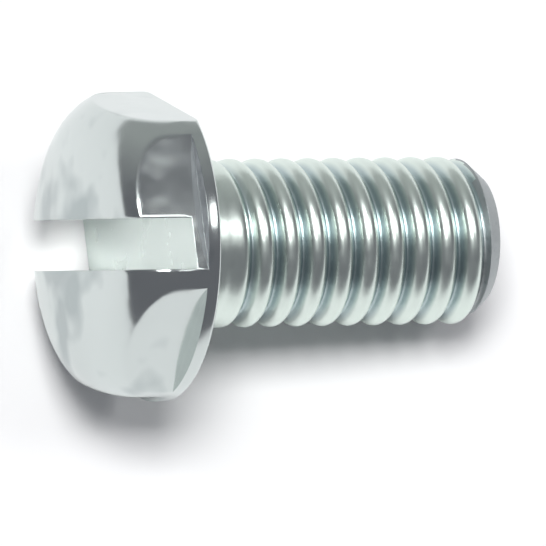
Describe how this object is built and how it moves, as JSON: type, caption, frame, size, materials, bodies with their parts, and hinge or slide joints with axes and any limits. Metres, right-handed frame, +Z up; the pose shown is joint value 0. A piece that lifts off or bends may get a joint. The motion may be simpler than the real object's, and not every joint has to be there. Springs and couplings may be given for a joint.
{
  "type": "slotted hex head machine screw",
  "caption": "Short zinc-plated machine screw with a right-hand metric thread and a domed hexagon head that has a straight driver slot.",
  "frame": {"origin": "centre of the bearing face under the head, on the screw's axis", "axes": "the screw lies as it rests on a flat surface: +X runs from the head to the tip, with the screw's axis dipping 10.1 degrees below it, +Z is up, and the surface is 4.92 mm below the origin"},
  "size_m": [0.0162, 0.0112, 0.0105],
  "materials": {
    "screw": "bright zinc plated steel, blue passivated"
  },
  "bodies": {
    "root": {"screw": "screw"}
  },
  "joints": []
}
